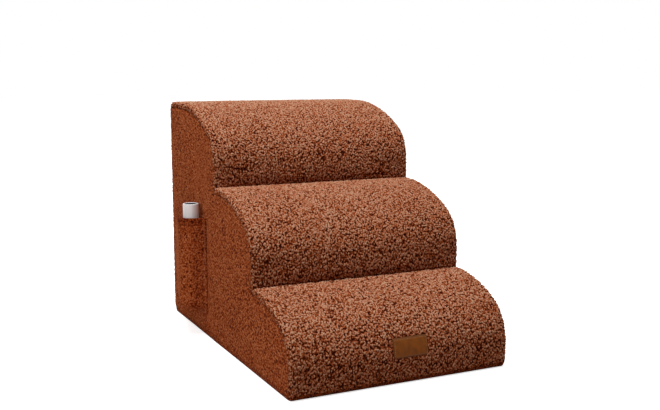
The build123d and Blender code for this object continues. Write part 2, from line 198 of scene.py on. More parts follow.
def sherpa(add, place, gap, body, tip, curl, sheen, contrast):
    """Polyester sherpa, knitted and raised into curls by brushing: matt, with painted shade deep in its gaps
    and a painted highlight on its tips.

    A strand is finer than a pixel, so each cell of the pattern stands for a lock of them.
    """
    pile = add("Attribute", output="Fac", attribute_name="pile")
    combed = add("Mapping", {"Vector": place, "Scale": (1 / curl, 0.7 / curl, 0.7 / curl)})
    locks = add("TexVoronoi", {"Vector": combed, "Scale": 1.0}, "Distance")
    fibres = add("TexNoise", {"Vector": place, "Scale": 1 / (curl * 0.45), "Detail": 3.0, "Roughness": 0.7})
    stroked = add("TexNoise", {"Vector": place, "Scale": 1 / (38 * MM)})
    level = 0.46 - contrast / 2  # brings the mean of the four parts to the middle of the ramp
    # Painted shade: low pile and the rims of the locks go towards the dark gap colour, and high pile towards
    # the pale tip colour, a painted highlight
    for part, weight in ((pile, contrast), (locks, -0.9), (fibres, 0.7), (stroked, 0.22)):
        level = add("Math", {0: part, 1: weight, 2: level}, operation="MULTIPLY_ADD")
    tone = add("ValToRGB", {"Fac": level}, stops=[
        (0.06, toned(gap)), (0.44, toned(body)), (0.9, toned(tip)),
    ])
    relief = add("Math", {0: locks, 1: -0.8, 2: fibres}, operation="MULTIPLY_ADD")
    dents = add("Bump", {"Height": relief, "Distance": 1 * MM, "Strength": 0.8})
    return add("BsdfPrincipled", {
        "Base Color": tone, "Roughness": 0.95, "Specular IOR Level": 0.08, "Normal": dents,
        "Sheen Weight": sheen, "Sheen Roughness": 0.3, "Sheen Tint": srgb("#e3b898"),
    })


def clipped_sherpa(add, place, cover, contrast):
    """The same sherpa with its pile clipped short: smaller curls, hardly any sheen."""
    return sherpa(
        add, place, cover.side_gap, cover.side_body, cover.side_tip, curl=2.3 * MM, sheen=0.04,
        contrast=contrast,
    )


def pu_foam(add, place, tint):
    """Polyurethane foam, cut by hot wire: matt cream, open cells 1.6 mm across, with painted shade in their
    hollows.
    """
    cells = add("TexVoronoi", {"Vector": place, "Scale": 1 / (1.6 * MM)}, "Distance")
    tone = add("ValToRGB", {"Fac": cells}, stops=[(0.0, toned(tint, 0.55)), (0.35, toned(tint))])
    dents = add("Bump", {"Height": cells, "Distance": 0.8 * MM})
    return add("BsdfPrincipled", {
        "Base Color": tone, "Roughness": 0.95, "Specular IOR Level": 0.1, "Normal": dents,
    })


def woven_cloth(add, place, tint, thread):
    """Plain-woven polyester: threads pass over and under each other, with painted shade where they dive.

    A real thread is about 0.3 mm thick. It is drawn 1.2 to 1.6 mm thick, so that the weave shows.
    """
    across, along, upright = (
        add("TexWave", {
            "Vector": place, "Scale": WAVE / thread, "Distortion": 0.4, "Detail": 1.0,
        }, "Fac", bands_direction=axis, wave_profile="SIN")
        for axis in "XYZ"
    )
    lying = add("Math", {0: across, 1: along}, operation="MULTIPLY")
    weave = add("Math", {0: upright, 1: 0.6, 2: lying}, operation="MULTIPLY_ADD")
    worn = add("TexNoise", {"Vector": place, "Scale": 1 / (20 * MM), "Detail": 3.0})
    both = add("Math", {0: worn, 1: weave}, operation="ADD")
    level = add("Math", {0: both, 1: 0.5}, operation="MULTIPLY")
    tone = add("ValToRGB", {"Fac": level}, stops=[
        (0.1, toned(tint, 0.45)), (0.5, toned(tint)), (0.95, toned(tint, 1.5)),
    ])
    dents = add("Bump", {"Height": weave, "Distance": thread * 0.4})
    return add("BsdfPrincipled", {
        "Base Color": tone, "Roughness": 0.8, "Specular IOR Level": 0.25, "Normal": dents,
    })


def moulded_plastic(add, place, tint, rough):
    """Injection-moulded plastic: a smooth skin with a faint mould grain and finger marks.

    The grain is drawn 0.6 mm across, coarser than a real one of 0.1 mm, so that it shows.
    """
    grain = add("TexNoise", {"Vector": place, "Scale": 1 / (0.6 * MM)})
    marks = add("TexNoise", {"Vector": place, "Scale": 1 / (14 * MM), "Detail": 3.0})
    tone = add("ValToRGB", {"Fac": marks}, stops=[(0.3, toned(tint, 0.93)), (0.6, toned(tint))])
    gloss = add("Math", {0: marks, 1: 0.18, 2: rough - 0.09}, operation="MULTIPLY_ADD")
    dents = add("Bump", {"Height": grain, "Distance": 0.03 * MM})
    return add("BsdfPrincipled", {
        "Base Color": tone, "Roughness": gloss, "IOR": 1.49, "Normal": dents,
    })


def plated_zinc(add, place, tint):
    """Zinc alloy, die cast and plated in antique brass: satin, with dark stain left in the hollows.

    Its casting pits are drawn 0.5 mm across, coarser than real ones, so that they show.
    """
    pits = add("TexNoise", {"Vector": place, "Scale": 1 / (0.5 * MM), "Detail": 4.0, "Roughness": 0.6})
    rubbed = add("TexNoise", {"Vector": place, "Scale": 1 / (4 * MM)})
    tone = add("ValToRGB", {"Fac": rubbed}, stops=[(0.25, toned(tint, 0.6)), (0.6, toned(tint))])
    gloss = add("Math", {0: pits, 1: 0.25, 2: 0.2}, operation="MULTIPLY_ADD")
    dents = add("Bump", {"Height": pits, "Distance": 0.05 * MM})
    return add("BsdfPrincipled", {
        "Base Color": tone, "Metallic": 1.0, "Roughness": gloss, "Normal": dents,
    })


def tanned_leather(add, place, tint, edge):
    """Vegetable-tanned leather: uneven brown, pebbled 1.2 mm across, with a burnished darker rim."""
    rim = add("Attribute", output="Fac", attribute_name="rim")
    grain = add(
        "TexVoronoi", {"Vector": place, "Scale": 1 / (1.2 * MM)}, "Distance", feature="SMOOTH_F1"
    )
    dye = add("TexNoise", {"Vector": place, "Scale": 1 / (9 * MM), "Detail": 4.0, "Roughness": 0.6})
    face = add("ValToRGB", {"Fac": dye}, stops=[
        (0.3, toned(tint, 0.7)), (0.52, toned(tint)), (0.8, toned(tint, 1.35)),
    ])
    tone = add("Mix", {0: rim, 6: face, 7: toned(edge)}, 2, data_type="RGBA")
    gloss = add("Math", {0: dye, 1: 0.2, 2: 0.5}, operation="MULTIPLY_ADD")
    dents = add("Bump", {"Height": grain, "Distance": 0.25 * MM, "Strength": 0.7})
    return add("BsdfPrincipled", {
        "Base Color": tone, "Roughness": gloss, "Specular IOR Level": 0.18, "Normal": dents,
    })


def sewing_thread(add, place, tint):
    """Spun polyester thread: plies twisted about every millimetre, with painted shade between them."""
    twist = add("TexWave", {
        "Vector": place, "Scale": WAVE / (0.9 * MM), "Distortion": 1.0,
    }, "Fac", bands_direction="DIAGONAL")
    tone = add("ValToRGB", {"Fac": twist}, stops=[(0.0, toned(tint, 0.5)), (0.7, toned(tint))])
    dents = add("Bump", {"Height": twist, "Distance": 0.15 * MM})
    return add("BsdfPrincipled", {
        "Base Color": tone, "Roughness": 0.7, "Sheen Weight": 0.2, "Normal": dents,
    })


def pulp_board(add, place, tint, fibre, rough):
    """Board or coated paper: matted pulp fibres about a millimetre long, flecked darker."""
    pulp = add("TexNoise", {"Vector": place, "Scale": 1 / fibre, "Detail": 4.0, "Roughness": 0.7})
    tone = add("ValToRGB", {"Fac": pulp}, stops=[(0.35, toned(tint, 0.8)), (0.6, toned(tint))])
    dents = add("Bump", {"Height": pulp, "Distance": 0.05 * MM})
    return add("BsdfPrincipled", {
        "Base Color": tone, "Roughness": rough, "Specular IOR Level": 0.3, "Normal": dents,
    })


def seen_rays(add):
    """1 for a ray that shows the surroundings, straight or by gloss or glass, 0 for light alone."""
    rays = add("LightPath").node.outputs
    mirrored = add("Math", {0: rays["Is Glossy Ray"], 1: rays["Is Transmission Ray"]}, operation="MAXIMUM")
    return add("Math", {0: rays["Is Camera Ray"], 1: mirrored}, operation="MAXIMUM")


def floor_paint(add, place, tint, bounce):
    """Matt floor paint: seen nearly white, whiter with distance, while it throws back a warm light."""
    lit = add("BsdfDiffuse", {"Color": toned(tint)})
    thrown = add("BsdfDiffuse", {"Color": toned(bounce)})
    away = add("VectorMath", {0: place}, "Value", operation="LENGTH")
    rise = add("MapRange", {
        "Value": away, "From Min": 0.4, "From Max": 2.0, "To Min": 0.75, "To Max": 1.0,
    }, interpolation_type="SMOOTHSTEP")
    glow = add("Emission", {"Color": WHITE, "Strength": rise})
    shown = add("AddShader", {0: lit, 1: glow})
    return add("MixShader", {0: seen_rays(add), 1: thrown, 2: shown})


# Meshes

def choose(piece):
    """Select one piece alone and make it active."""
    bpy.ops.object.select_all(action="DESELECT")
    piece.select_set(True)
    bpy.context.view_layer.objects.active = piece


def use_modifier(piece, kind, **settings):
    """Add a modifier, set it and apply it."""
    modifier = piece.modifiers.new(kind.lower(), kind)
    for name, value in settings.items():
        setattr(modifier, name, value)
    choose(piece)
    bpy.ops.object.modifier_apply(modifier=modifier.name)


def new_piece(name, mesh):
    piece = bpy.data.objects.new(name, mesh)
    bpy.context.scene.collection.objects.link(piece)
    choose(piece)
    return piece


def whole_copy(node, name, grain=None):
    """A copy of a CAD node's mesh as a new piece, with its triangles merged at their corners.

    With a grain, it is then remeshed in squares of that size.
    """
    piece = new_piece(name, nodes[node].data.copy())
    piece.data.materials.clear()
    bpy.ops.object.mode_set(mode="EDIT")
    bpy.ops.mesh.select_all(action="SELECT")
    bpy.ops.mesh.remove_doubles(threshold=0.01 * MM)
    bpy.ops.object.mode_set(mode="OBJECT")
    if grain:
        use_modifier(piece, "REMESH", mode="VOXEL", voxel_size=grain)
    return piece


def pick_faces(piece, test):
    """Select the faces whose normal passes a test, and stay in edit mode."""
    bpy.ops.object.mode_set(mode="EDIT")
    bpy.ops.mesh.select_mode(type="FACE")
    bpy.ops.mesh.select_all(action="DESELECT")
    bpy.ops.object.mode_set(mode="OBJECT")
    for face in piece.data.polygons:
        face.select = test(face.normal)
    bpy.ops.object.mode_set(mode="EDIT")


def repeat(name, model, turns):
    """One piece made of a modelled piece's copies, one for each matrix. The model is removed."""
    template = model.data
    bpy.data.objects.remove(model)
    joined = bmesh.new()
    for turn in turns:
        mesh = template.copy()
        mesh.transform(turn)
        joined.from_mesh(mesh)
        bpy.data.meshes.remove(mesh)
    bmesh.ops.recalc_face_normals(joined, faces=joined.faces)
    mesh = bpy.data.meshes.new(name)
    joined.to_mesh(mesh)
    joined.free()
    return new_piece(name, mesh)


def read_all(items, name):
    values = np.empty(len(items) * 3, np.float32)
    items.foreach_get(name, values)
    return values.reshape(-1, 3).astype(float)


def points_of(piece):
    return read_all(piece.data.vertices, "co")


def normals_of(piece):
    return read_all(piece.data.vertex_normals, "vector")


def set_points(piece, points):
    piece.data.vertices.foreach_set("co", points.astype(np.float32).ravel())
    piece.data.update()


def ease(values):
    """A smooth step from 0 to 1."""
    values = np.clip(values, 0, 1)
    return values * values * (3 - 2 * values)


def bump_at(values, middle, width):
    """1 at the middle, falling smoothly to 0 about a width away."""
    return np.exp(-((values - middle) / width) ** 2)


def set_group(piece, name, weights, levels=32):
    """Write a vertex group from an array of weights, rounded to a number of levels."""
    group = piece.vertex_groups.get(name) or piece.vertex_groups.new(name=name)
    rounded = np.round(np.clip(weights, 0, 1) * levels).astype(int)
    for level in range(1, levels + 1):
        members = np.nonzero(rounded == level)[0]
        if len(members):
            group.add(members.tolist(), level / levels, "REPLACE")


def set_attribute(piece, name, values):
    attribute = piece.data.attributes.get(name) or piece.data.attributes.new(name, "FLOAT", "POINT")
    attribute.data.foreach_set("value", np.clip(values, 0, 1).astype(np.float32))


def finder_of(points, numbers):
    """A tree that finds the nearest of the numbered points."""
    finder = KDTree(len(numbers))
    for number in numbers:
        finder.insert(points[number], int(number))
    finder.balance()
    return finder


def finish_piece(piece, material, sharp, slot, *replaced):
    """Paint and smooth a piece, and let it ride on the stairs, in place of CAD nodes.

    Edges sharper than sharp degrees stay crisp. With None, all are smooth.
    """
    piece.data.materials.clear()
    piece.data.materials.append(material)
    choose(piece)
    if sharp is None:
        bpy.ops.object.shade_smooth()
    else:
        bpy.ops.object.shade_smooth_by_angle(angle=radians(sharp))
    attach(piece, "stairs")
    if replaced:
        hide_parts(*replaced)


def finish_node(node, width, material):
    """Round the edges of a CAD node that stays, by live modifiers, and give it a new material."""
    piece = nodes[node]
    if width:
        weld = piece.modifiers.new("weld", "WELD")
        weld.merge_threshold = 0.01 * MM
        bevel = piece.modifiers.new("bevel", "BEVEL")
        bevel.width = width
        bevel.segments = 3
        bevel.limit_method = "ANGLE"
        bevel.angle_limit = radians(35)
        bevel.harden_normals = False
    for slot in piece.material_slots:
        slot.material = material
    if not piece.material_slots:
        piece.data.materials.append(material)


# Plush

def foam_surface():
    """The outside of the three foam tiers, to measure from."""
    points, faces = [], []
    for tier in TIERS:
        mesh = nodes[f"foam_tier_{tier}"].data
        start = len(points)
        points += [v.co.copy() for v in mesh.vertices]
        faces += [[start + i for i in polygon.vertices] for polygon in mesh.polygons]
    return BVHTree.FromPolygons(points, faces)


def curl_texture():
    """Rounded cells for the curls, one to a unit of the texture's space."""
    texture = bpy.data.textures.new("curls", "VORONOI")
    texture.noise_scale = 1.0
    texture.distance_metric = "DISTANCE"
    texture.weight_1 = 1.0
    return texture


def push_lumps(piece, size, depth, **settings):
    """Push a surface in and out in soft lumps."""
    texture = bpy.data.textures.new("lumps", "CLOUDS")
    texture.noise_scale = size
    texture.noise_depth = 2
    use_modifier(piece, "DISPLACE", texture=texture, texture_coords="LOCAL", strength=depth, **settings)


def combed_space(curl, stretch):
    """An empty whose space is curl wide across the stairs and longer down the fall of the pile."""
    bpy.ops.object.select_all(action="DESELECT")
    bpy.ops.object.empty_add(location=(0.3, -0.7, 0.5))
    empty = bpy.context.active_object
    empty.scale = (curl, curl * stretch, curl * stretch)
    bpy.context.view_layer.update()
    return empty


def raise_pile(piece, curl, depth, weights, stretch=1.15, seam_shade=0.0, painted_top_light=0.0):
    """Raise curls out of a smooth skin, and keep each point's height in the pile as an attribute, with
    painted light and shade added to it.
    """
    set_group(piece, "pile_area", weights)
    before, normals = points_of(piece), normals_of(piece)
    space = combed_space(curl, stretch)

    # The texture is 0 in the middle of a cell, so a negative strength raises a curl there
    use_modifier(
        piece, "DISPLACE", texture=curl_texture(), texture_coords="OBJECT", texture_coords_object=space,
        strength=-depth * 1.7, mid_level=0.42, vertex_group="pile_area",
    )
    bpy.data.objects.remove(space)
    push_lumps(piece, curl * 0.6, depth * 0.5, vertex_group="pile_area")
    risen = ((points_of(piece) - before) * normals).sum(1)
    low, high = np.percentile(risen[weights > 0.8], [4, 96])
    height = np.where(weights > 0.05, np.clip((risen - low) / (high - low), 0, 1), 0.25)

    # Painted light from above is added, and beside a seam the colour moves to the pile's dark foot, at 0.28
    # of its height, as painted shade in the seam
    set_attribute(piece, "pile", height + painted_top_light + (0.28 - height) * seam_shade)
    push_lumps(piece, curl * 4, depth * 0.5, vertex_group="pile_area")


def thin_lining(piece, inner, keep=0.1):
    """Thin out the mesh of the side that nobody sees."""
    set_group(piece, "lining", inner.astype(float))
    ratio = 1 - inner.mean() * (1 - keep)
    use_modifier(piece, "DECIMATE", ratio=ratio, vertex_group="lining", vertex_group_factor=1.0)
    piece.vertex_groups.clear()


def held_points(points, normals):
    """Where the seams, the floor and the glue between the tiers hold the cover."""
    across = np.abs(normals[:, 0])
    held = (across > 0.15) & (across < 0.96)  # the rounding along a side
    held |= (normals[:, 1] > 0.15) & (normals[:, 2] > 0.15)  # and between the top and the back
    held |= points[:, 2] < 12 * MM
    for tier in TIERS[1:]:
        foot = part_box(f"tread_panel_{tier}")[0]
        held |= np.hypot(points[:, 1] - foot.y, points[:, 2] - foot.z) < 16 * MM
    return held


@cache
def simulate_swell():
    """Blow up the covered foam as cloth held along its seams, and keep how far each point moves."""
    swell = bpy.context.scene.stairs_cover.swell
    slabs = [whole_copy(f"foam_tier_{tier}", f"swelling_{tier}") for tier in TIERS]
    bpy.ops.object.select_all(action="DESELECT")
    for slab in slabs:
        slab.select_set(True)
    core = bpy.context.view_layer.objects.active = slabs[0]
    bpy.ops.object.join()
    use_modifier(core, "REMESH", mode="VOXEL", voxel_size=CLOTH_MESH)
    before, normals = points_of(core), normals_of(core)
    set_group(core, "held", held_points(before, normals).astype(float))
    cloth = core.modifiers.new("cloth", "CLOTH")
    cloth.settings.quality = 5
    cloth.settings.vertex_group_mass = "held"
    cloth.settings.use_pressure = True
    cloth.settings.uniform_pressure_force = 4
    cloth.settings.effector_weights.gravity = 0
    for number in range(1, CLOTH_FRAMES + 1):
        bpy.context.scene.frame_set(number)
    choose(core)
    bpy.ops.object.modifier_apply(modifier=cloth.name)
    moved = points_of(core) - before
    bpy.context.scene.frame_set(1)
    bpy.data.objects.remove(core)

    # The fullest hundredth of the points ends at swell, and the rest in proportion
    far = np.linalg.norm(moved, axis=1)
    moved *= np.minimum(swell / np.percentile(far, 99), swell / np.maximum(far, swell / 50))[:, None]
    return finder_of(before, range(len(before))), moved


def swell_of(points):
    """How far the simulated swelling carries each point of the cover."""
    finder, moved = simulate_swell()
    result = np.empty((len(points), 3))
    for number, point in enumerate(points.tolist()):
        found = finder.find_n(point, 4)
        weights = [1 / (hit[2] + 2 * MM) ** 2 for hit in found]
        result[number] = sum(moved[hit[1]] * weight for hit, weight in zip(found, weights)) / sum(weights)
    return result


def fuller_corners(points, over, away):
    """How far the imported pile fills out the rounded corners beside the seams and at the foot.

    It turns the quarter circle of the solid cover into a squarer curve of the sixth degree.
    """
    fuller = np.ones(len(points))
    for part in (np.abs(away[:, 0]), np.clip(-away[:, 2], 0, 1) * (points[:, 2] < 20 * MM)):
        part = np.clip(part, 0, 1)
        fuller *= (part ** 6 + (1 - part ** 2) ** 3) ** (-1 / 6)
    return ROUNDING * (fuller - 1) * np.clip((over - 1 * MM) / (4 * MM), 0, 1)


def dress_panel(node, name, slot, grain, curl, depth, material, swelling=1.0, calm=None):
    """Turn a panel of the cover into plush: swollen between its seams, with pile raised out of it."""
    cover = bpy.context.scene.stairs_cover
    tread = slot == "tread_plush"
    piece = whole_copy(node, name, grain * (1.0))
    points, normals = points_of(piece), normals_of(piece)
    foam = foam_surface()
    nearest = [foam.find_nearest(point) for point in points.tolist()]
    over = np.array([hit[3] for hit in nearest])
    away = (points - np.array([hit[0] for hit in nearest])) / np.maximum(over, 0.1 * MM)[:, None]
    outer = (over > FACE) & (points[:, 2] > 1.5 * MM)
    rim = (over > RIM[0]) & (over < RIM[1])
    finder = finder_of(points, np.nonzero(rim)[0])
    edge = np.zeros(len(points))
    for number in np.nonzero(outer)[0]:
        edge[number] = finder.find(points[number])[2]

    # The face swells, dips in at its seams and fills its corners, and the foot settles on the floor
    still = np.ones(len(points)) if calm is None else calm(points)
    swell = np.zeros((len(points), 3))
    swell[outer] = swell_of(points[outer]) * (swelling * still[outer])[:, None]
    dip = cover.seam_depth * (1 - ease(edge / cover.seam_reach)) * ease(points[:, 2] / (25 * MM))
    corners = fuller_corners(points, over, away)
    points += swell - normals * np.where(outer, dip, 0)[:, None] + away * corners[:, None]
    points[:, 2] -= 0.7 * MM * ease((20 * MM - points[:, 2]) / (18 * MM))
    set_points(piece, points)

    # The pile is thinner beside a seam and where the pocket lies, and fringes the cut rim
    weights = np.where(outer, (0.6 + 0.4 * ease(edge / (5 * MM))) * (0.75 + 0.25 * still), 0)
    weights[rim & (points[:, 2] > 6 * MM)] = 0.65
    # Painted shade and light: beside a seam and on the rim the colour moves to the pile's dark foot, and on
    # the treads faces that look up are painted paler and the others darker, as lit from above
    raise_pile(
        piece, curl, depth, weights, 1.45 if tread else 1.15,
        np.where(rim, 0.8, (0.6 if tread else 0.2) * (1 - ease(edge / (9 * MM)))),
        0.08 * (ease(normals[:, 2]) - 0.5) if tread else 0.0,
    )
    points = points_of(piece)
    points[:, 2] = np.maximum(points[:, 2], 0.1 * MM)
    set_points(piece, points)
    thin_lining(piece, over < LINING)
    finish_piece(piece, material, None, slot, node)


def beside_pocket(points):
    """0 where the pocket lies and the roller is drawn up against the left side, 1 from 45 mm away."""
    pocket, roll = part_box("pocket_panel"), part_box("sticky_sheets")
    lift = next(joint["range_m"][1] for joint in frame["joints"] if joint["name"] == "roller_lift")
    away = np.inf
    for (low, high), top in ((pocket, pocket[1].z), (roll, roll[1].z + lift)):
        out_y = np.maximum(np.maximum(low.y - points[:, 1], points[:, 1] - high.y), 0)
        out_z = np.maximum(np.maximum(pocket[0].z - points[:, 2], points[:, 2] - top), 0)
        away = np.minimum(away, np.hypot(out_y, out_z))
    return ease(away / (45 * MM))


# Stitches

def model_stitch(long, thick):
    """One stitch: a short thread with rounded ends that dive into the cloth."""
    bpy.ops.object.select_all(action="DESELECT")
    bpy.ops.mesh.primitive_cylinder_add(
        vertices=6, radius=thick / 2, depth=long * 0.6, end_fill_type="NGON"
    )
    piece = bpy.context.active_object
    pick_faces(piece, lambda normal: abs(normal.z) > 0.9)
    bpy.ops.mesh.extrude_faces_move(TRANSFORM_OT_shrink_fatten={"value": long * 0.14})
    bpy.ops.transform.resize(value=(0.55, 0.55, 1.0))
    bpy.ops.object.mode_set(mode="OBJECT")
    points = points_of(piece)
    points[:, 0] -= (points[:, 2] / (long / 2)) ** 2 * thick * 0.45
    set_points(piece, points)
    return piece


def sew(name, places, long, thick, material, slot):
    """One stitch at each place, given as (point, direction along the seam, direction out)."""
    turns = []
    for point, along, out in places:
        along, out = Vector(along).normalized(), Vector(out).normalized()
        turn = Matrix((out, along.cross(out), along)).transposed().to_4x4()
        turn.translation = point
        turns.append(turn)
    finish_piece(repeat(name, model_stitch(long, thick), turns), material, None, slot)


def spaced(points, pitch):
    """Places every pitch along a line through points, with the direction there."""
    points = [Vector(point) for point in points]
    found, left = [], pitch / 2
    for a, b in zip(points, points[1:]):
        run = (b - a).length
        while left <= run:
            found.append((a.lerp(b, left / run), (b - a).normalized()))
            left += pitch
        left -= run
    return found


class MakeFoam(bpy.types.Operator):
    """Make the three foam slabs that are glued together under the cover"""
    bl_idname = "stairs.make_foam"
    bl_label = "Foam slabs"

    def execute(self, context):
        foam = new_material("polyurethane_foam", pu_foam, context.scene.stairs_cover.foam_colour)
        for tier in TIERS:
            piece = whole_copy(f"foam_tier_{tier}", f"foam_slab_{tier}", 7 * MM)
            push_lumps(piece, 60 * MM, -0.6 * MM, mid_level=0.0)
            finish_piece(piece, foam, 40, "foam", f"foam_tier_{tier}")
        return {"FINISHED"}


class MakeTreadPanels(bpy.types.Operator):
    """Make the three sherpa panels that wrap the risers, noses and treads"""
    bl_idname = "stairs.make_tread_panels"
    bl_label = "Tread panels"

    def execute(self, context):
        cover = context.scene.stairs_cover
        material = new_material(
            "polyester_sherpa", sherpa, cover.tread_gap, cover.tread_body, cover.tread_tip,
            curl=2.05 * MM, sheen=0.1, contrast=1.05,
        )
        for tier in TIERS:
            dress_panel(
                f"tread_panel_{tier}", f"sherpa_tread_{tier}", "tread_plush",
                cover.tread_grain, cover.tread_curl, cover.tread_pile, material,
            )
        return {"FINISHED"}


class MakeSidePanels(bpy.types.Operator):
    """Make the clipped sherpa panels of the two sides and the back"""
    bl_idname = "stairs.make_side_panels"
    bl_label = "Side and back panels"

    def execute(self, context):
        cover = context.scene.stairs_cover
        material = new_material("clipped_sherpa", clipped_sherpa, cover, 0.85)
        for node, name, grain, swelling, calm in (
            ("left_side_panel", "clipped_side_left", cover.side_grain, 1.0, beside_pocket),
            ("right_side_panel", "clipped_side_right", cover.side_grain, 1.0, None),
            ("back_flap_panel", "clipped_back_flap", cover.back_grain, 0.25, None),
            ("back_border_panel", "clipped_back_border", cover.back_grain, 0.25, None),
        ):
            dress_panel(
                node, name, "side_plush", grain, cover.side_curl, cover.side_pile, material,
                swelling, calm,
            )
        return {"FINISHED"}


class MakeBase(bpy.types.Operator):
    """Make the woven base cloth and the rubber dots that are printed on it"""
    bl_idname = "stairs.make_base"
    bl_label = "Base cloth"

    def execute(self, context):
        cover = context.scene.stairs_cover
        low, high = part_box("base_cloth")
        cloth_z = low.z + 1 * MM
        bpy.ops.object.select_all(action="DESELECT")
        bpy.ops.mesh.primitive_grid_add(
            x_subdivisions=61, y_subdivisions=97, size=1.0, location=(0, 0, 0)
        )
        piece = context.active_object
        piece.name = piece.data.name = "base_cloth_sheet"
        points = points_of(piece)
        points[:, 0] *= high.x - low.x - 2 * MM
        points[:, 1] *= high.y - low.y - 2 * MM
        points[:, 2] = cloth_z + 1.5 * MM
        set_points(piece, points)
        push_lumps(piece, 55 * MM, 0.7 * MM, direction="Z")
        use_modifier(piece, "SOLIDIFY", thickness=0.8 * MM, offset=0.0)
        cloth = new_material("plain_woven_polyester", woven_cloth, cover.base_colour, 1.6 * MM)
        finish_piece(piece, cloth, 50, "base_cloth", "base_cloth")
        self.print_dots(cover, cloth_z)
        return {"FINISHED"}

    def print_dots(self, cover, cloth_z, pitch=36 * MM):
        """Model one dot with a rounded face, and print it in rows."""
        bpy.ops.object.select_all(action="DESELECT")
        bpy.ops.mesh.primitive_cylinder_add(
            vertices=16, radius=4 * MM, depth=2 * MM, location=(0, 0, 0), end_fill_type="NGON"
        )
        dot = bpy.context.active_object
        pick_faces(dot, lambda normal: normal.z < -0.9)
        bpy.ops.mesh.bevel(offset=0.7 * MM, segments=2)
        bpy.ops.object.mode_set(mode="OBJECT")
        piece = repeat("grip_dots", dot, [
            Matrix.Translation((column * pitch, row * pitch, cloth_z))
            for column in range(-4, 5) for row in range(-7, 8)
        ])
        rubber = new_material("printed_rubber", moulded_plastic, cover.dot_colour, 0.6)
        finish_piece(piece, rubber, 35, "base_cloth")


class MakePocket(bpy.types.Operator):
    """Make the patch pocket that hugs the roller, with its hem and stitches"""
    bl_idname = "stairs.make_pocket"
    bl_label = "Pocket"

    def execute(self, context):
        cover, trim = context.scene.stairs_cover, context.scene.stairs_trim
        piece = whole_copy("pocket_panel", "pocket_patch", (1.2) * MM)
        points, normals = points_of(piece), normals_of(piece)
        low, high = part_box("roller_handle")
        axis_x, axis_y = (low.x + high.x) / 2, (low.y + high.y) / 2
        side_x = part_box("left_side_panel")[0].x
        bottom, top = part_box("pocket_panel")
        outward = (points[:, 0] - axis_x) * normals[:, 0] + (points[:, 1] - axis_y) * normals[:, 1]
        flat = points[:, 0] > side_x - 3.7 * MM
        facing = np.where(flat, -normals[:, 0], outward / (10 * MM)) > -0.2
        outer = facing & (points[:, 0] < side_x - 1.2 * MM)

        # A hem stitched 14 mm down, a rolled lip above it, and a mouth that slants down to the back
        fall = top.z - points[:, 2]
        hem = bump_at(fall, 14 * MM, 1.6 * MM)
        lip = bump_at(fall, 5 * MM, 5 * MM)
        points += normals * np.where(outer & ~flat, lip * 0.7 * MM - hem * 0.9 * MM, 0)[:, None]
        behind = np.clip((points[:, 1] - axis_y) / (top.y - axis_y), 0, 1)
        points[:, 2] -= 28 * MM * behind * ease((points[:, 2] - bottom.z) / (top.z - bottom.z))
        set_points(piece, points)
        raise_pile(piece, cover.side_curl, cover.side_pile * 0.65, np.where(outer, 1.0 - 0.5 * hem, 0.0))
        self.paint_mouth_shade(piece, fall, points[:, 1] - axis_y)
        material = new_material("clipped_sherpa_pocket", clipped_sherpa, cover, 0.6)
        finish_piece(piece, material, None, "side_plush", "pocket_panel")
        self.stitch(trim, bottom, top, side_x)
        return {"FINISHED"}

    def paint_mouth_shade(self, piece, fall, aside):
        """Paint shade into the pile's colour along the mouth, and in a patch below it where the roller
        stands, by moving it towards the pile's dark ground.
        """
        pile = np.empty(len(piece.data.vertices), np.float32)
        piece.data.attributes["pile"].data.foreach_get("value", pile)
        # Painted shade: a patch below the roller, and the top 8 mm along the mouth darker still
        shade_below_roller = 0.35 * np.exp(-(fall / (38 * MM)) ** 2 - (aside / (30 * MM)) ** 2)
        set_attribute(piece, "pile", pile * (0.3 + 0.7 * ease(fall / (8 * MM))) - shade_below_roller)

    def stitch(self, trim, bottom, top, side_x, inset=2 * MM):
        """Sew down the front edge, along the foot and up the back edge."""
        front, back, foot = bottom.y + inset, top.y - inset, bottom.z + inset
        face_x = side_x - 3.5 * MM
        line = [
            (face_x, front, top.z - 2 * MM), (face_x, front, foot),
            (face_x, back, foot), (face_x, back, top.z - 30 * MM),
        ]
        raised = Vector((-0.35 * MM, 0, 0))
        places = [(point + raised, along, (-1, 0, 0)) for point, along in spaced(line, trim.stitch_pitch)]
        thread = new_material("spun_polyester_pocket", sewing_thread, trim.thread)
        sew("pocket_stitches", places, trim.stitch_pitch * 0.8, trim.thread_width, thread, "side_plush")


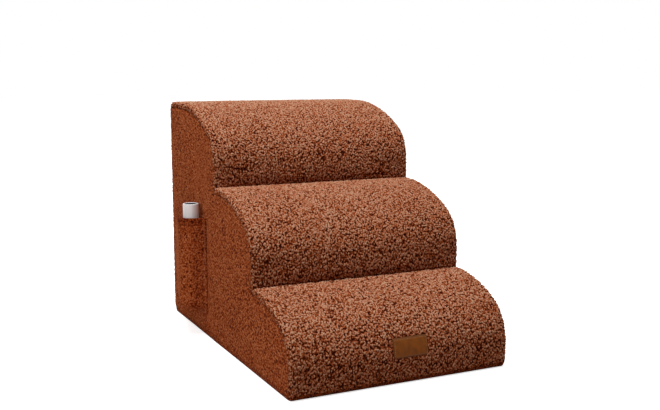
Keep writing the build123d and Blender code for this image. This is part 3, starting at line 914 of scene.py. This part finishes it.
class MakeLabel(bpy.types.Operator):
    """Make the bare leather label, with its burnished rim and stitches"""
    bl_idname = "stairs.make_label"
    bl_label = "Leather label"

    def execute(self, context):
        trim = context.scene.stairs_trim
        piece = whole_copy("label_patch", "leather_label", (0.45) * MM)
        points, normals = points_of(piece), normals_of(piece)
        low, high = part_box("label_patch")
        x_edge = np.minimum(points[:, 0] - low.x, high.x - points[:, 0])
        z_edge = np.minimum(points[:, 2] - low.z, high.z - points[:, 2])
        corner = 3 * MM
        cut = np.hypot(np.maximum(corner - x_edge, 0), np.maximum(corner - z_edge, 0))
        edge = np.where((x_edge < corner) & (z_edge < corner), corner - cut, np.minimum(x_edge, z_edge))

        # A crowned face, with a groove for the stitches 2.2 mm in from its edge
        front = normals[:, 1] < -0.3
        groove = bump_at(edge, 2.2 * MM, 0.55 * MM)
        crown = 1.1 * MM * ease(edge / (2.5 * MM)) + 0.2 * MM - 0.35 * MM * groove
        points[:, 1] -= np.where(front, crown, 0)
        middle = (np.array(low) + np.array(high)) / 2
        points += swell_of(middle[None, :])
        set_points(piece, points)
        set_attribute(piece, "rim", np.where(front, 1 - ease((edge - 0.6 * MM) / (2.2 * MM)), 1.0))
        leather = new_material("vegetable_tanned_leather", tanned_leather, trim.leather, trim.leather_edge)
        finish_piece(piece, leather, None, "label_leather", "label_patch")
        self.stitch(trim, piece, low, high)
        return {"FINISHED"}

    def stitch(self, trim, piece, low, high, inset=2.2 * MM, bend=2 * MM):
        """Sew round the label, with a quarter turn at each corner."""
        left, right = low.x + inset + bend, high.x - inset - bend
        under, over = low.z + inset + bend, high.z - inset - bend
        outline = [
            (x + bend * cos(radians(turn + angle)), 0, z + bend * sin(radians(turn + angle)))
            for x, z, turn in ((right, over, 0), (left, over, 90), (left, under, 180), (right, under, 270))
            for angle in (0, 30, 60, 90)
        ]
        places = []
        for point, along in spaced(outline + outline[:1], 3.0 * MM):
            found, hit, normal, _ = piece.ray_cast((point.x, low.y - 20 * MM, point.z), (0, 1, 0))
            if found:
                places.append((hit + normal * 0.12 * MM, along, normal))
        thread = new_material("spun_polyester_label", sewing_thread, trim.label_thread)
        sew("label_stitches", places, 2.3 * MM, 0.55 * MM, thread, "label_leather")


class FinishZipper(bpy.types.Operator):
    """Make the zipper's woven tapes and finish its teeth, stops, slider and pull"""
    bl_idname = "stairs.finish_zipper"
    bl_label = "Zipper"

    def execute(self, context):
        trim = context.scene.stairs_trim
        cloth = new_material("herringbone_tape", woven_cloth, trim.tape, 1.2 * MM)
        for side in ("inner", "outer"):
            piece = whole_copy(f"zipper_tape_{side}", f"woven_tape_{side}")
            use_modifier(piece, "BEVEL", width=0.3 * MM, segments=2, limit_method="ANGLE")
            finish_piece(piece, cloth, 40, "zipper_tape", f"zipper_tape_{side}")
        self.stitch_tapes(trim)
        teeth = new_material("moulded_acetal_teeth", moulded_plastic, trim.teeth, 0.4)
        zinc = new_material("antique_brass_plated_zinc", plated_zinc, trim.metal)
        for node, width, material in (
            ("zipper_teeth_inner", 0.25, teeth), ("zipper_teeth_outer", 0.25, teeth),
            ("zipper_stops", 0.3, zinc), ("zipper_slider", 0.3, zinc), ("zipper_pull", 0.3, zinc),
        ):
            finish_node(node, width * MM, material)
        return {"FINISHED"}

    def stitch_tapes(self, trim):
        """Sew a row of stitches down each tape, beside the edge of the cloth."""
        low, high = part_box("zipper_tape_outer")
        thread = new_material("spun_polyester_tape", sewing_thread, trim.thread)
        raised = Vector((0, 0.25 * MM, 0))
        for side, offset in (("inner", -5.4 * MM), ("outer", 5.4 * MM)):
            half, foot, bend = high.x - 7 * MM + offset, low.z + 7 * MM - offset, 40 * MM + offset
            line = [(-half, high.y, high.z - 4 * MM)]
            line += [
                (-half + bend - bend * cos(angle), high.y, foot + bend - bend * sin(angle))
                for angle in np.linspace(0, pi / 2, 9)
            ]
            line += [(-x, y, z) for x, y, z in reversed(line)]
            places = [(point + raised, along, (0, 1, 0)) for point, along in spaced(line, trim.stitch_pitch)]
            sew(
                f"tape_stitches_{side}", places, trim.stitch_pitch * 0.75, trim.thread_width, thread,
                "zipper_tape",
            )


class FinishRoller(bpy.types.Operator):
    """Finish the lint roller that stands in the pocket"""
    bl_idname = "stairs.finish_roller"
    bl_label = "Lint roller"

    def execute(self, context):
        roller = context.scene.stairs_roller
        white = new_material("moulded_polypropylene", moulded_plastic, roller.white, 0.35)
        acetal = new_material("moulded_acetal", moulded_plastic, roller.axle, 0.3)
        lining = new_material("black_rubber_lining", moulded_plastic, roller.black, 0.7)
        board = new_material("grey_board", pulp_board, roller.board, 1.0 * MM, 0.9)
        for node, width, material in (
            ("roller_handle", 0.35, white), ("roller_spool", 0.3, white), ("spool_cap", 0.3, white),
            ("roller_axle", 0.3, acetal), ("handle_lining", 0.2, lining), ("paper_core", 0, board),
        ):
            finish_node(node, width * MM, material)
        self.wind_sheets(roller)
        return {"FINISHED"}

    def wind_sheets(self, roller):
        """Spin the wound sheets from their section, with a groove between layers and a loose last end."""
        low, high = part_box("sticky_sheets")
        x, y = (low.x + high.x) / 2, (low.y + high.y) / 2
        outer = (high.x - low.x) / 2
        inner = outer - 4 * MM
        bpy.ops.object.select_all(action="DESELECT")
        bpy.ops.mesh.primitive_grid_add(
            x_subdivisions=21, y_subdivisions=1, size=1.0, location=(0, 0, 0), rotation=(pi / 2, 0, 0)
        )
        piece = bpy.context.active_object
        piece.name = piece.data.name = "sticky_sheet_roll"
        choose(piece)
        bpy.ops.object.transform_apply(location=True, rotation=True, scale=True)
        points = points_of(piece)
        columns = len(np.unique(points[:, 0].round(5))) - 1
        column = np.round((points[:, 0] + 0.5) * columns).astype(int)
        end = np.sign(points[:, 2])
        groove = np.where((column % 2 == 1) & (column < columns), 0.35 * MM, 0)
        groove += np.where(column == columns, 0.5 * MM, 0)
        points[:, 0] = x + inner + (outer - inner) * (points[:, 0] + 0.5)
        points[:, 1] = y
        points[:, 2] = (low.z + high.z) / 2 + end * ((high.z - low.z) / 2 - groove)
        set_points(piece, points)
        bpy.ops.object.mode_set(mode="EDIT")
        bpy.ops.mesh.select_all(action="SELECT")
        bpy.ops.mesh.region_to_loop()
        bpy.ops.mesh.select_all(action="INVERT")
        bpy.ops.mesh.delete(type="EDGE")
        bpy.ops.mesh.select_all(action="SELECT")
        bpy.ops.mesh.spin(steps=80, angle=2 * pi, center=(x, y, 0), axis=(0, 0, 1))
        bpy.ops.mesh.select_all(action="SELECT")
        bpy.ops.mesh.remove_doubles(threshold=0.02 * MM)
        bpy.ops.mesh.normals_make_consistent(inside=False)
        bpy.ops.object.mode_set(mode="OBJECT")

        # The winding draws in by one sheet from turn to turn, which leaves a step at its last end
        points = points_of(piece)
        turn = (np.arctan2(points[:, 1] - y, points[:, 0] - x) + 2 * pi + 2.2) % (2 * pi)
        radius = np.hypot(points[:, 0] - x, points[:, 1] - y)
        outwards = (radius - inner) / (outer - inner)
        drawn_in = 1 - outwards * 0.45 * MM * (1 - turn / (2 * pi)) / radius
        points[:, 0] = x + (points[:, 0] - x) * drawn_in
        points[:, 1] = y + (points[:, 1] - y) * drawn_in
        set_points(piece, points)
        piece.data.materials.append(new_material("coated_paper", pulp_board, roller.paper, 0.8 * MM, 0.5))
        choose(piece)
        bpy.ops.object.shade_smooth_by_angle(angle=radians(30))
        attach(piece, "sticky_roll")
        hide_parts("sticky_sheets")


class MakeStage(bpy.types.Operator):
    """Make the pale floor, the soft lights and the camera of the photograph"""
    bl_idname = "stairs.make_stage"
    bl_label = "Stage"

    def execute(self, context):
        stage = context.scene.stairs_stage
        self.floor(stage)
        self.room(context, stage)
        self.lamp("key_light", (-0.45, -0.5, 3.4), stage.key_power, 1.9)
        self.lamp("fill_light", (-2.5, -0.7, 1.2), stage.fill_power, 1.0)
        self.lamp("back_light", (1.2, 2.4, 0.9), stage.back_power, 1.6)

        # The photograph's own camera, solved from its perspective
        bpy.ops.object.camera_add(
            location=(-0.7107, -1.5028, 0.4879), rotation=(radians(90 - 8.314), 0, radians(-25.77))
        )
        camera = context.active_object
        camera.data.lens = 50.33
        camera.data.sensor_width = 36
        context.scene.camera = camera
        context.scene.view_settings.view_transform = "Standard"
        return {"FINISHED"}

    def floor(self, stage):
        """Lay the floor that the stairs stand on."""
        bpy.ops.object.select_all(action="DESELECT")
        bpy.ops.mesh.primitive_plane_add(size=30, location=(0, 0, 0))
        floor = bpy.context.active_object
        floor.name = "studio_floor"
        floor.data.materials.append(new_material("painted_floor", floor_paint, stage.floor, stage.bounce))

    def room(self, context, stage):
        """Put the stairs in a white room that lights them only faintly."""
        world = bpy.data.worlds.new("studio")
        context.scene.world = world
        world.use_nodes = True
        world.node_tree.nodes.clear()
        add = partial(add_node, world.node_tree)
        room = add("Background", {"Color": WHITE, "Strength": stage.sky})
        white = add("Background", {"Color": WHITE, "Strength": 1.0})
        add("OutputWorld", {"Surface": add("MixShader", {0: seen_rays(add), 1: room, 2: white})})

    def lamp(self, name, location, watts, size):
        bpy.ops.object.light_add(type="AREA", location=location)
        lamp = bpy.context.active_object
        lamp.name = name
        lamp.data.energy = watts
        lamp.data.size = size
        aim = Vector((0, 0, 0.2)) - Vector(location)
        lamp.rotation_euler = aim.to_track_quat("-Z", "Y").to_euler()


class StairsPanel(bpy.types.Panel):
    """Sizes, colours and pieces of the pet stairs"""
    bl_idname = "VIEW3D_PT_pet_stairs"
    bl_label = "Pet stairs"
    bl_space_type = "VIEW_3D"
    bl_region_type = "UI"
    bl_category = "Stairs"

    def draw(self, context):
        for group, operators in GROUPS.items():
            settings = getattr(context.scene, group)
            box = self.layout.box()
            for name in settings.__annotations__:
                box.prop(settings, name)
            for operator in operators:
                box.operator(operator.bl_idname)


GROUPS = {
    "stairs_cover": (MakeFoam, MakeTreadPanels, MakeSidePanels, MakeBase, MakePocket),
    "stairs_trim": (MakeLabel, FinishZipper),
    "stairs_roller": (FinishRoller,),
    "stairs_stage": (MakeStage,),
}
SETTINGS = {
    "stairs_cover": CoverSettings,
    "stairs_trim": TrimSettings,
    "stairs_roller": RollerSettings,
    "stairs_stage": StageSettings,
}
CLASSES = [*SETTINGS.values(), *(operator for group in GROUPS.values() for operator in group), StairsPanel]


def register():
    for item in CLASSES:
        bpy.utils.register_class(item)
    for name, settings in SETTINGS.items():
        setattr(bpy.types.Scene, name, bpy.props.PointerProperty(type=settings))


def unregister():
    for name in SETTINGS:
        delattr(bpy.types.Scene, name)
    for item in reversed(CLASSES):
        bpy.utils.unregister_class(item)


def main():
    register()
    bpy.ops.stairs.make_foam()
    bpy.ops.stairs.make_tread_panels()
    bpy.ops.stairs.make_side_panels()
    bpy.ops.stairs.make_base()
    bpy.ops.stairs.make_pocket()
    bpy.ops.stairs.make_label()
    bpy.ops.stairs.finish_zipper()
    bpy.ops.stairs.finish_roller()
    bpy.ops.stairs.make_stage()


if __name__ == "__main__":
    main()
